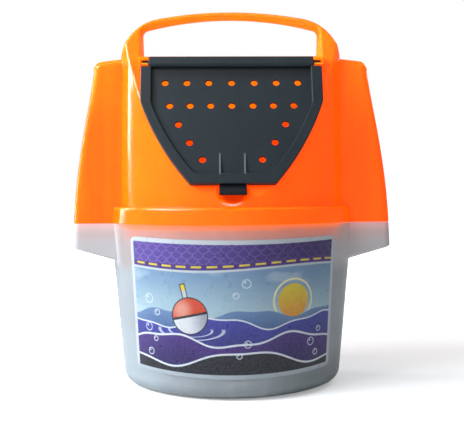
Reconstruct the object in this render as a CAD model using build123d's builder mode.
from build123d import *
import math
import os

os.makedirs("parts", exist_ok=True)

# Flow-through bait bucket: a milky lower tub, an orange upper shell with two side
# pods and a moulded carrying handle, and a perforated door on the sloping front.
# Frame: +Z up, front towards -Y, origin on the floor under the middle of the bounding box.

# ---------------------------------------------------------------- driving dimensions (mm)
wall = 2.4            # moulded wall of tub and shell

# plan section at the seam: a two-arc oval front and a shallow V back
seam_z = 135.5
half_w = 103.4
front_d = 78.0
corner_r = 55.0       # radius of the oval's side arcs
back_y = 36.0         # where the straight sides turn into the V back
ridge_y = 61.0        # the V's central ridge
back_r = 27.0
ridge_r = 30.0
tub_draft = 5.3       # degrees
foot_r = 13.0
tub_lip = 0.6          # the band overhangs the tub by this much
tub_belly = 5.0        # the front leans in less than the sides, so the foot is this much deeper
foot_ring = 5.0       # width of the flat ring it stands on
foot_rise = 1.2

# side pods
pod_x = 131.4
pod_flare = 0.9       # the white underside of a pod is this much wider at its tip
pod_y = 22.6
pod_y_top = 18.6
pod_r = 6.0
pod_low_tip = 115.2   # height of the pod's underside at its tip
pod_low_slope = 0.29

# shell
band_top = 149.0
band_in = 0.9
dome_in = 6.6         # the dome stands this far inside the band
dome_in_top = 9.4
deck_z = 272.4
slope = 20.0          # the front panel leans back, degrees from vertical
slope_y = -71.0       # foot of the sloping panel
slope_z = 152.7
tongue_low = 122.0
tongue_gap = 0.15
tongue_t = 2.0
ledge_top = 138.0

# handle
handle_top = 312.2
grip_z = 307.2        # underside of the grip at its middle
handle_back = 10.0    # Y of its back face at the deck
handle_lean = 0.297

# door, in the sloping panel's own plane: u across, v up the slope, n outwards
door_back = 0.3
door_front = 5.0
plate_front = 2.4
door_bottom_v = 13.8
rail_top_v = 115.7
hinge_v = 120.5
hinge_n = 1.2
bar_half = 66.9
stub_r = 2.0
stub_fit = 0.06
ear_r = 4.4
ear_in = 67.6
leg_in = 74.6
trough_r = 6.5
hole_r = 2.65

# latch tab
tab_half = 10.6
tab_pivot_v = 16.4
tab_pivot_n = 1.4
tab_t = 1.6
catch_half = 8.0
catch_top_v = 14.2    # edge of the panel that the catch hooks behind
catch_low_v = 8.5
dish_v = 9.8
dish_radius = 13.2
dish_depth = 4.2

# float blocks
float_gap = 0.4
float_in = 95.5
float_top = 252.0

# front label
label_t = 0.35
label_gap = 0.05

# ---------------------------------------------------------------- derived
tan_tub = math.tan(math.radians(tub_draft))
vee = (ridge_y - back_y) / half_w
vee_cos = 1 / math.hypot(1, vee)
ss, cs = math.sin(math.radians(slope)), math.cos(math.radians(slope))
# the widest section lies this far behind the origin, which is the middle of the bounding box
mid_y = (front_d - ridge_y + ridge_r * (1 / vee_cos - 1)) / 2
slope_y += mid_y
handle_back += mid_y
panel = Plane(origin=(0, slope_y, slope_z), x_dir=(1, 0, 0), z_dir=(0, -cs, ss))
# the same plane seen in section: local x is v up the slope, local y is n outwards
section = Plane(origin=(0, slope_y, slope_z), x_dir=(0, ss, cs), z_dir=(1, 0, 0))
dish_sphere = (dish_radius ** 2 + dish_depth ** 2) / (2 * dish_depth)
dish_rise = dish_sphere - dish_depth


def tub_in(z):
    return tub_lip + (seam_z - z) * tan_tub


def tub_grow(z):
    return tub_belly * (1 - z / seam_z)


def dome_off(z):
    return dome_in + (z - seam_z) * (dome_in_top - dome_in) / (deck_z - seam_z)


def oval(off, grow=0.0):
    """Plan section, drawn parallel to the seam section and off inside it, with its front pushed out by grow."""
    a, b, r2 = half_w - off, front_d - off + grow, corner_r - off
    cx, k = half_w - corner_r, front_d - corner_r + grow
    cy = (cx ** 2 - k ** 2) / (2 * k)
    span = math.hypot(cx, cy)
    tx, ty = cx + r2 * cx / span, -r2 * cy / span
    half = math.atan2(ty, tx - cx) / 2
    mx, my = cx + r2 * math.cos(half), r2 * math.sin(half)
    yb = ridge_y - off / vee_cos
    ys = yb - vee * a
    c = mid_y
    ThreePointArc((a, c), (mx, c + my), (tx, c + ty))
    ThreePointArc((tx, c + ty), (0, c - b), (-tx, c + ty))
    ThreePointArc((-tx, c + ty), (-mx, c + my), (-a, c))
    FilletPolyline((-a, c), (-a, c + ys), (0, c + yb), (a, c + ys), (a, c),
                   radius=[max(back_r - off, 5), max(ridge_r - off, 8), max(back_r - off, 5)])


def pod_front(k):
    """Front view of the right-hand pod above the seam, k inside its outside."""
    outer = Polyline((78, seam_z - 0.2), (pod_x - k, seam_z - 0.2), (pod_x - k, seam_z))
    lean = Spline((pod_x - k, seam_z), (130.7 - k, 150), (128.9 - k, 170), (125.8 - k, 194), (121.7 - k, 219),
                  (117.1 - k, 245), (114.6 - k, 261.4 - k), tangents=((0, 1), (-0.16, 1)))
    RadiusArc(lean @ 1, (107.9 - k, 270.5 - k), -7.6 + k * 0.6)
    Polyline((107.9 - k, 270.5 - k), (92.0, deck_z - k), (78, deck_z - k), (78, seam_z - 0.2))


def handle_outer():
    """Front view of the handle's outside, from the flat crown round both shoulders."""
    crown = JernArc(start=(0, handle_top), tangent=(1, 0), radius=308, arc_size=-11.35)
    shoulder = JernArc(start=crown @ 1, tangent=crown % 1, radius=37, arc_size=-38.65)
    side = JernArc(start=shoulder @ 1, tangent=shoulder % 1, radius=48.6, arc_size=-40)
    mirror(about=Plane.YZ)
    end = side @ 1
    Polyline((end.X, end.Y), (110, end.Y), (110, 140), (-110, 140), (-110, end.Y), (-end.X, end.Y))


def handle_inner():
    """Front view of the hand opening, tight corners at the top of straight legs."""
    under = JernArc(start=(0, grip_z), tangent=(1, 0), radius=300, arc_size=-13.6)
    end = under @ 1
    corner = JernArc(start=end, tangent=under % 1, radius=(leg_in - end.X) / (1 - math.sin(math.radians(13.6))), arc_size=-76.4)
    mirror(about=Plane.YZ)
    end = corner @ 1
    Polyline((end.X, end.Y), (end.X, deck_z), (-end.X, deck_z), (-end.X, end.Y))


def outline(side, top, bottom, bulge):
    """Shield outline in the panel plane: (side, top) the upper corner, tapering to bottom."""
    (bx, bv) = bottom
    kx, kv = side[0], side[1]
    L = math.hypot(kx - bx, kv - bv)
    nx, nv = (kv - bv) / L, -(kx - bx) / L
    mx, mv = (kx + bx) / 2 + nx * bulge, (kv + bv) / 2 + nv * bulge
    Polyline((-kx, kv), (-top[0], top[1]), (top[0], top[1]), (kx, kv))
    ThreePointArc((kx, kv), (mx, mv), (bx, bv))
    Polyline((bx, bv), (-bx, bv))
    ThreePointArc((-bx, bv), (-mx, mv), (-kx, kv))


# ---------------------------------------------------------------- lower tub
with BuildPart() as pod_low:
    with BuildSketch(Plane.XZ.offset(-pod_y - mid_y)):
        with BuildLine():
            Polyline((78, pod_low_tip - pod_low_slope * (pod_x - 78)), (pod_x + pod_flare, pod_low_tip), (pod_x, seam_z), (78, seam_z), close=True)
        make_face()
    extrude(amount=2 * pod_y)
    fillet(pod_low.edges().filter_by(lambda e: e.center().X > pod_x - 1 and abs(e.tangent_at(0.5).Z) > 0.9), radius=pod_r)
    fillet(pod_low.faces().sort_by(Axis.Z)[0].edges().filter_by(lambda e: e.center().X > 90), radius=2.2)
    mirror(about=Plane.YZ)

with BuildPart() as pod_low_core:
    with BuildSketch(Plane.XZ.offset(-(pod_y - wall) - mid_y)):
        with BuildLine():
            Polyline((76, pod_low_tip - pod_low_slope * (pod_x - 76) + wall), (pod_x - wall, pod_low_tip + wall - 0.7), (pod_x - wall, seam_z + 5), (76, seam_z + 5), close=True)
        make_face()
    extrude(amount=2 * (pod_y - wall))
    fillet(pod_low_core.edges().filter_by(Axis.Z).group_by(Axis.X)[-1], radius=pod_r - wall)
    mirror(about=Plane.YZ)

with BuildPart() as bait_space:
    with BuildSketch(Plane.XY):
        with BuildLine():
            oval(tub_in(0) + wall, tub_grow(0))
        make_face()
    with BuildSketch(Plane.XY.offset(seam_z)):
        with BuildLine():
            oval(tub_in(seam_z) + wall, tub_grow(seam_z))
        make_face()
    loft(ruled=True)
    with BuildSketch(Plane.XY):
        Rectangle(300, 300)
    extrude(amount=foot_rise + wall, mode=Mode.SUBTRACT)
    extrude(bait_space.faces().sort_by(Axis.Z)[-1], amount=1)
    fillet(bait_space.edges().group_by(Axis.Z)[0], radius=foot_r - wall)

with BuildPart() as lower_tub:
    with BuildSketch(Plane.XY):
        with BuildLine():
            oval(tub_in(0), tub_grow(0))
        make_face()
    with BuildSketch(Plane.XY.offset(seam_z)):
        with BuildLine():
            oval(tub_in(seam_z), tub_grow(seam_z))
        make_face()
    loft(ruled=True)
    fillet(lower_tub.edges().group_by(Axis.Z)[0], radius=foot_r)
    add(pod_low.part)
    # shallow recess under the floor, so the tub stands on its rim
    with BuildSketch(Plane.XY):
        with BuildLine():
            oval(tub_in(0) + foot_r + foot_ring, tub_grow(0))
        make_face()
    extrude(amount=foot_rise, mode=Mode.SUBTRACT)
    add(bait_space.part, mode=Mode.SUBTRACT)
    add(pod_low_core.part, mode=Mode.SUBTRACT)
lower_tub.part.label = "lower_tub"
export_step(lower_tub.part, "parts/lower_tub.step")
print("lower_tub", round(lower_tub.part.volume), lower_tub.part.bounding_box().size, len(lower_tub.part.solids()), lower_tub.part.is_valid)

# ---------------------------------------------------------------- upper shell
with BuildPart() as pod_up:
    with BuildSketch(Plane.XZ.offset(-60)):
        with BuildLine():
            pod_front(0)
        make_face()
    extrude(amount=120)
    with BuildSketch(Plane.YZ):
        with BuildLine():
            Polyline((mid_y - pod_y, seam_z), (mid_y + pod_y, seam_z), (mid_y + pod_y_top, deck_z), (mid_y - pod_y_top, deck_z), close=True)
        make_face()
    extrude(amount=200, mode=Mode.INTERSECT)
    rim = pod_up.faces().filter_by(lambda f: abs(f.normal_at(f.center()).Y) > 0.9).edges()
    fillet(rim.filter_by(lambda e: e.center().X > 85 and e.center().Z > seam_z + 1), radius=pod_r)
    mirror(about=Plane.YZ)
print("pod_up", pod_up.part.is_valid, len(pod_up.part.solids()))

with BuildPart() as dome:
    # the core carries on above the deck, where it gives the handle legs their outer faces
    with BuildSketch(Plane.XY.offset(145)):
        with BuildLine():
            oval(dome_off(145))
        make_face()
    with BuildSketch(Plane.XY.offset(325)):
        with BuildLine():
            oval(dome_off(325))
        make_face()
    loft(ruled=True)
    with BuildSketch(Plane.XZ.offset(-150)):
        with BuildLine():
            handle_outer()
        make_face()
        with BuildLine():
            handle_inner()
        make_face(mode=Mode.SUBTRACT)
    extrude(amount=300, mode=Mode.INTERSECT)
    with BuildSketch(panel):
        Rectangle(400, 700)
    extrude(amount=200, mode=Mode.SUBTRACT)
    # behind the handle the deck is open
    with BuildSketch(Plane.YZ.offset(-150)):
        with BuildLine():
            Polyline((handle_back, deck_z), (handle_back - handle_lean * 60, deck_z + 60), (100, deck_z + 60), (100, deck_z), close=True)
        make_face()
    extrude(amount=300, mode=Mode.SUBTRACT)
    front = dome.faces().filter_by(lambda f: f.geom_type == GeomType.PLANE and f.normal_at(f.center()).dot(panel.z_dir) > 0.99).sort_by(SortBy.AREA)[-1]
    fillet(front.outer_wire().edges(), radius=2.4)
    front = dome.faces().filter_by(lambda f: f.geom_type == GeomType.PLANE and f.normal_at(f.center()).dot(panel.z_dir) > 0.99).sort_by(SortBy.AREA)[-1]
    fillet(front.inner_wires()[0].edges(), radius=1.5)

with BuildPart() as rounded_handle:
    add(dome.part)
    rear = rounded_handle.faces().filter_by(lambda f: f.geom_type == GeomType.PLANE and f.normal_at(f.center()).Y > 0.8 and f.center().Z > deck_z + 2)[0]
    fillet(rear.edges().filter_by(lambda e: e.center().Z > deck_z + 1), radius=1.4)
    # only the handle is kept
    with BuildSketch(Plane.XY.offset(deck_z)):
        Rectangle(300, 300)
    extrude(amount=100, mode=Mode.INTERSECT)

with BuildPart() as rounded_deck:
    add(dome.part)
    deck = rounded_deck.faces().filter_by(Axis.Z).filter_by(lambda f: abs(f.center().Z - deck_z) < 0.1)[0]
    fillet(deck.edges().filter_by(lambda e: e.center().Y > mid_y + 15 or (e.center().Y > mid_y + 10.5 and abs(e.center().X) > 85)), radius=3.0)
    # only what lies under the deck is kept
    with BuildSketch(Plane.XY.offset(deck_z)):
        Rectangle(300, 300)
    extrude(amount=-150, mode=Mode.INTERSECT)
print("rounded_handle", rounded_handle.part.is_valid, len(rounded_handle.part.solids()), "rounded_deck", rounded_deck.part.is_valid)

with BuildPart() as band:
    with BuildSketch(Plane.XY.offset(seam_z)):
        with BuildLine():
            oval(0)
        make_face()
    with BuildSketch(Plane.XY.offset(band_top)):
        with BuildLine():
            oval(band_in)
        make_face()
    loft(ruled=True)
    fillet(band.faces().sort_by(Axis.Z)[-1].edges(), radius=2.5)
print("band", band.part.is_valid)

# spigot that locates the shell in the mouth of the tub
with BuildPart() as spigot:
    with BuildSketch(Plane.XY.offset(tongue_low)):
        with BuildLine():
            oval(tub_in(tongue_low) + wall + tongue_gap, tub_grow(tongue_low))
        make_face()
    with BuildSketch(Plane.XY.offset(seam_z + 1)):
        with BuildLine():
            oval(tub_in(seam_z + 1) + wall + tongue_gap, tub_grow(seam_z + 1))
        make_face()
    loft(ruled=True)
    tip = pod_x - wall - tongue_gap
    with BuildSketch(Plane.XY.offset(tongue_low)):
        with Locations((0, mid_y)):
            RectangleRounded(2 * tip, 2 * (pod_y - wall - tongue_gap), pod_r - wall - tongue_gap)
    extrude(amount=seam_z + 1 - tongue_low)
    chamfer(spigot.faces().sort_by(Axis.Z)[0].outer_wire().edges(), length=0.6)

with BuildPart() as spigot_core:
    inset = wall + tongue_gap + tongue_t
    with BuildSketch(Plane.XY.offset(tongue_low - 1)):
        with BuildLine():
            oval(tub_in(tongue_low - 1) + inset, tub_grow(tongue_low - 1))
        make_face()
    with BuildSketch(Plane.XY.offset(ledge_top)):
        with BuildLine():
            oval(tub_in(ledge_top) + inset, tub_grow(ledge_top))
        make_face()
    loft(ruled=True)
    with BuildSketch(Plane.XY.offset(tongue_low - 1)):
        with Locations((0, mid_y)):
            RectangleRounded(2 * (pod_x - inset), 2 * (pod_y - inset), pod_r - inset)
    extrude(amount=ledge_top - tongue_low + 1)

with BuildPart() as pod_core:
    with BuildSketch(Plane.XZ.offset(-60)):
        with BuildLine():
            pod_front(wall)
        make_face()
    extrude(amount=120)
    with BuildSketch(Plane.YZ):
        with BuildLine():
            Polyline((mid_y - pod_y + wall, ledge_top), (mid_y + pod_y - wall, ledge_top), (mid_y + pod_y_top - wall, deck_z), (mid_y - pod_y_top + wall, deck_z), close=True)
        make_face()
    extrude(amount=200, mode=Mode.INTERSECT)
    rim = pod_core.faces().filter_by(lambda f: abs(f.normal_at(f.center()).Y) > 0.9).edges()
    fillet(rim.filter_by(lambda e: e.center().X > 85 and e.center().Z > ledge_top + 1), radius=pod_r - wall)
    mirror(about=Plane.YZ)
print("pod_core", pod_core.part.is_valid)

# everything that stays solid inside the front wall: trough, dish and their backing
with BuildPart() as backing:
    with BuildSketch(section.offset(-leg_in - 2.5)):
        with Locations((hinge_v, hinge_n)):
            Circle(trough_r + wall)
    extrude(amount=2 * (leg_in + 2.5))

with BuildPart() as dish:
    with Locations(panel.from_local_coords((0, dish_v, dish_rise))):
        Sphere(dish_sphere)
    with BuildSketch(panel.offset(-20)):
        with Locations((0, catch_top_v - 50)):
            Rectangle(100, 100)
    extrude(amount=60, mode=Mode.INTERSECT)

with BuildPart() as dish_backing:
    with Locations(panel.from_local_coords((0, dish_v, dish_rise))):
        Sphere(dish_sphere + wall - 0.2)
    with BuildSketch(panel.offset(-20)):
        with Locations((0, catch_top_v - 50)):
            Rectangle(100, 100)
    extrude(amount=60, mode=Mode.INTERSECT)

with BuildPart() as dome_core:
    with BuildSketch(Plane.XY.offset(ledge_top)):
        with BuildLine():
            oval(dome_off(ledge_top) + wall)
        make_face()
    with BuildSketch(Plane.XY.offset(deck_z - wall)):
        with BuildLine():
            oval(dome_off(deck_z - wall) + wall)
        make_face()
    loft(ruled=True)
    with BuildSketch(panel.offset(-wall)):
        Rectangle(400, 700)
    extrude(amount=200, mode=Mode.SUBTRACT)
    add([backing.part, dish_backing.part], mode=Mode.SUBTRACT)
    # room behind the band
    with BuildSketch(Plane.XY.offset(ledge_top - 0.01)):
        with BuildLine():
            oval(band_in + wall)
        make_face()
    extrude(amount=band_top - wall - ledge_top)
print("dome_core", dome_core.part.is_valid, len(dome_core.part.solids()))

with BuildPart() as leg_core:
    with BuildSketch(Plane.XY.offset(262)):
        with BuildLine():
            oval(dome_off(262) + wall + 0.2)
        make_face()
    with BuildSketch(Plane.XY.offset(292)):
        with BuildLine():
            oval(dome_off(292) + wall + 0.2)
        make_face()
    loft(ruled=True)
    with BuildSketch(Plane.XZ.offset(-150)):
        with BuildLine():
            Polyline((77.2, 262), (77.2, 289), (81.5, 289), (86.0, 284), (90.0, 276), (93.0, 262), close=True)
        make_face()
        mirror(about=Plane.YZ)
    extrude(amount=300, mode=Mode.INTERSECT)
    with BuildSketch(panel.offset(-wall - 0.2)):
        Rectangle(400, 700)
    extrude(amount=200, mode=Mode.SUBTRACT)
    with BuildSketch(Plane.YZ.offset(-150)):
        with BuildLine():
            Polyline((handle_back - 2.6, deck_z), (handle_back - 2.6 - handle_lean * 30, deck_z + 30), (150, deck_z + 30), (150, deck_z - 20),
                     (handle_back - 2.6, deck_z - 20), close=True)
        make_face()
    extrude(amount=300, mode=Mode.SUBTRACT)
print("leg_core", leg_core.part.is_valid, len(leg_core.part.solids()))

# ribs that keep each float block out in its pod
with BuildPart() as ribs:
    with BuildSketch(Plane.XY.offset(ledge_top - 0.5)):
        with Locations((94.4, mid_y + 22.5), (94.4, mid_y - 22.5), (-94.4, mid_y + 22.5), (-94.4, mid_y - 22.5)):
            Rectangle(1.6, 9.0)
    extrude(amount=262 - ledge_top)
    add(pod_up.part, mode=Mode.INTERSECT)

with BuildPart() as upper_shell:
    add([band.part, rounded_deck.part, rounded_handle.part])
    add([pod_up.part, spigot.part])
    add(spigot_core.part, mode=Mode.SUBTRACT)
    add([dome_core.part, pod_core.part], mode=Mode.SUBTRACT)
    add(leg_core.part, mode=Mode.SUBTRACT)
    add(ribs.part)
    # way in behind the door
    with BuildSketch(panel.offset(3)):
        with BuildLine():
            outline(side=(64.6, 82.5), top=(65.0, 108.0), bottom=(29.5, 20.4), bulge=3.4)
        make_face()
        fillet(vertices(), radius=2.5)
    extrude(amount=-12, mode=Mode.SUBTRACT)
    # trough that the door's bar turns in
    with BuildSketch(section.offset(-leg_in + 0.6)):
        with Locations((hinge_v, hinge_n)):
            Circle(trough_r)
    extrude(amount=2 * (leg_in - 0.6), mode=Mode.SUBTRACT)
    # snap ears, open towards the front
    for side_x in (-leg_in - 0.2, ear_in):
        with BuildSketch(section.offset(side_x)):
            with Locations((hinge_v, hinge_n)):
                Circle(ear_r)
            with Locations((hinge_v, hinge_n - 4.6)):
                Rectangle(2 * ear_r, 9.2)
        extrude(amount=leg_in + 0.2 - ear_in)
    with BuildSketch(section.offset(-leg_in + 0.6)):
        with Locations((hinge_v, hinge_n)):
            Circle(stub_r + stub_fit)
        with Locations((hinge_v - 0.5, hinge_n + 3)):
            Rectangle(3.5, 6)
    extrude(amount=2 * (leg_in - 0.6), mode=Mode.SUBTRACT)
    # finger dish and the slot for the catch
    add(dish.part, mode=Mode.SUBTRACT)
    with BuildSketch(panel.offset(2)):
        with Locations((0, (catch_low_v + catch_top_v) / 2)):
            Rectangle(2 * catch_half + 2, catch_top_v - catch_low_v)
    extrude(amount=-14, mode=Mode.SUBTRACT)
upper_shell.part.label = "upper_shell"
export_step(upper_shell.part, "parts/upper_shell.step")
print("upper_shell", round(upper_shell.part.volume), upper_shell.part.bounding_box().size, len(upper_shell.part.solids()), upper_shell.part.is_valid)

# ---------------------------------------------------------------- door
hole_rows = [(101.4, (0, 18.3, 36.0, 53.5)), (81.0, (0, 16.9, 33.2, 49.5)), (64.6, (42.3,)), (49.0, (33.5,)), (34.5, (23.3,))]
hole_spots = [(k * u, v) for v, us in hole_rows for u in us for k in (1, -1) if u or k == 1]

# hinge bar across the top of the door, a little flattened in front
with BuildPart() as hinge_bar:
    with BuildSketch(section.offset(-bar_half)):
        with Locations((hinge_v - 0.5, hinge_n + 0.6)):
            RectangleRounded(9.4, 8.0, 2.3)
    extrude(amount=2 * bar_half)
    fillet(hinge_bar.faces().filter_by(Axis.X).edges(), radius=0.6)

with BuildPart() as door_panel:
    # perforated plate
    with BuildSketch(panel.offset(door_back)):
        with BuildLine():
            outline(side=(73.0, 84.5), top=(73.4, rail_top_v), bottom=(32.9, door_bottom_v), bulge=3.8)
        make_face()
        fillet(vertices().sort_by(Axis.Y)[:2], radius=2.0)
        fillet(vertices().filter_by(lambda p: abs(p.X) > 71 and p.Y < 90), radius=8.0)
    extrude(amount=plate_front - door_back)
    # raised frame down both sides and along the foot
    with BuildSketch(panel.offset(door_back)):
        with BuildLine():
            outline(side=(73.0, 84.5), top=(73.4, rail_top_v), bottom=(32.9, door_bottom_v), bulge=3.8)
        make_face()
        fillet(vertices().sort_by(Axis.Y)[:2], radius=2.0)
        fillet(vertices().filter_by(lambda p: abs(p.X) > 71 and p.Y < 90), radius=8.0)
        with BuildLine():
            outline(side=(64.2, 83.3), top=(64.7, 118.0), bottom=(29.0, 22.6), bulge=3.2)
        make_face(mode=Mode.SUBTRACT)
    extrude(amount=door_front - door_back)
    crest = door_panel.faces().filter_by(lambda f: f.geom_type == GeomType.PLANE and f.normal_at(f.center()).dot(panel.z_dir) > 0.99).sort_by(lambda f: f.center().dot(panel.z_dir))[-1]
    fillet(crest.outer_wire().edges(), radius=0.7)
    add(hinge_bar.part)
    # ribs that stiffen the foot above the latch
    for u in (-9.7, 9.7):
        with BuildSketch(section.offset(u - 0.7)):
            with BuildLine():
                Polyline((21, 1.5), (21, 4.6), (24, 4.4), (38.9, plate_front - 0.1), (38.9, 1.5), close=True)
            make_face()
        extrude(amount=1.4)
    # water holes
    with BuildSketch(panel.offset(plate_front + 1)):
        with Locations(*hole_spots):
            Circle(hole_r)
    extrude(amount=-6, mode=Mode.SUBTRACT)
    # notch behind the foot rail for the latch tab
    with BuildSketch(panel.offset(3.3)):
        with Locations((0, 15.6)):
            Rectangle(2 * tab_half + 0.8, 4.8)
    extrude(amount=-6, mode=Mode.SUBTRACT)
    # hinge stubs
    with BuildSketch(section.offset(-72.9)):
        with Locations((hinge_v, hinge_n)):
            Circle(stub_r)
    extrude(amount=2 * 72.9)
    chamfer(door_panel.faces().filter_by(Axis.X).filter_by(lambda f: abs(f.center().X) > 72.8 and f.area < 20).edges(), length=0.5)
door_panel.part.label = "door_panel"
export_step(door_panel.part, "parts/door_panel.step")
print("door_panel", round(door_panel.part.volume), door_panel.part.bounding_box().size, len(door_panel.part.solids()), door_panel.part.is_valid)

with BuildPart() as door_latch:
    # leaf that springs from the foot of the door, finger lip and catch
    with BuildSketch(section.offset(-tab_half)):
        with Locations((tab_pivot_v, tab_pivot_n)):
            Circle(tab_t / 2)
        with BuildLine():
            Polyline((tab_pivot_v, tab_pivot_n - tab_t / 2), (tab_pivot_v, tab_pivot_n + tab_t / 2), (9.9, tab_pivot_n + tab_t / 2),
                     (9.9, 5.0), (9.2, 5.8), (6.6, 5.8), (4.8, 4.4), (4.8, 3.0), (7.0, tab_pivot_n - tab_t / 2), close=True)
        make_face()
    extrude(amount=2 * tab_half)
    lip = door_latch.edges().filter_by(Axis.X).filter_by(lambda e: e.center().dot(panel.z_dir) > Vector(0, slope_y, slope_z).dot(panel.z_dir) + 2.7)
    fillet(lip, radius=0.4)
    with BuildSketch(section.offset(-catch_half)):
        with BuildLine():
            Polyline((10.2, 1.0), (12.2, 1.0), (12.2, -2.9), (13.6, -2.9), (12.8, -5.0), (10.2, -5.0), close=True)
        make_face()
    extrude(amount=2 * catch_half)
door_latch.part.label = "door_latch"
export_step(door_latch.part, "parts/door_latch.step")
print("door_latch", round(door_latch.part.volume), door_latch.part.bounding_box().size, len(door_latch.part.solids()), door_latch.part.is_valid)

# ---------------------------------------------------------------- float blocks and label
with BuildPart() as float_insert_right:
    with BuildSketch(Plane.XZ.offset(-60)):
        with BuildLine():
            pod_front(wall + float_gap)
        make_face()
    extrude(amount=120)
    with BuildSketch(Plane.YZ.offset(float_in)):
        with BuildLine():
            low = pod_y - wall - float_gap
            high = low - (float_top - ledge_top) * (pod_y - pod_y_top) / (deck_z - ledge_top)
            Polyline((mid_y - low, ledge_top + 0.1), (mid_y + low, ledge_top + 0.1), (mid_y + high, float_top), (mid_y - high, float_top), close=True)
        make_face()
    extrude(amount=200, mode=Mode.INTERSECT)
    fillet(float_insert_right.edges().filter_by(lambda e: e.center().X > 108 and abs(e.center().Y - mid_y) > 15 and ledge_top + 4 < e.center().Z < float_top - 4), radius=3.6)
float_insert_right.part.label = "float_insert_right"
export_step(float_insert_right.part, "parts/float_insert_right.step")
print("float_insert_right", round(float_insert_right.part.volume), float_insert_right.part.bounding_box().size, len(float_insert_right.part.solids()), float_insert_right.part.is_valid)

with BuildPart() as float_insert_left:
    mirror(float_insert_right.part, about=Plane.YZ)
float_insert_left.part.label = "float_insert_left"
export_step(float_insert_left.part, "parts/float_insert_left.step")
print("float_insert_left", round(float_insert_left.part.volume), float_insert_left.part.is_valid)

with BuildPart() as front_label:
    with BuildSketch(Plane.XY):
        with BuildLine():
            oval(tub_in(0) - label_gap - label_t, tub_grow(0))
        make_face()
    with BuildSketch(Plane.XY.offset(seam_z)):
        with BuildLine():
            oval(tub_in(seam_z) - label_gap - label_t, tub_grow(seam_z))
        make_face()
    loft(ruled=True)
    with BuildSketch(Plane.XY):
        with BuildLine():
            oval(tub_in(0) - label_gap, tub_grow(0))
        make_face()
    with BuildSketch(Plane.XY.offset(seam_z)):
        with BuildLine():
            oval(tub_in(seam_z) - label_gap, tub_grow(seam_z))
        make_face()
    loft(ruled=True, mode=Mode.SUBTRACT)
    with BuildSketch(Plane.XZ):
        with BuildLine():
            ThreePointArc((-81.7, 126.3), (0, 124.1), (81.7, 126.3))
            Line((81.7, 126.3), (77.0, 20.2))
            ThreePointArc((77.0, 20.2), (0, 17.6), (-77.0, 20.2))
            Line((-77.0, 20.2), (-81.7, 126.3))
        make_face()
        fillet(vertices(), radius=4.0)
    extrude(amount=120, mode=Mode.INTERSECT)
front_label.part.label = "front_label"
export_step(front_label.part, "parts/front_label.step")
print("front_label", round(front_label.part.volume), front_label.part.bounding_box().size, len(front_label.part.solids()), front_label.part.is_valid)
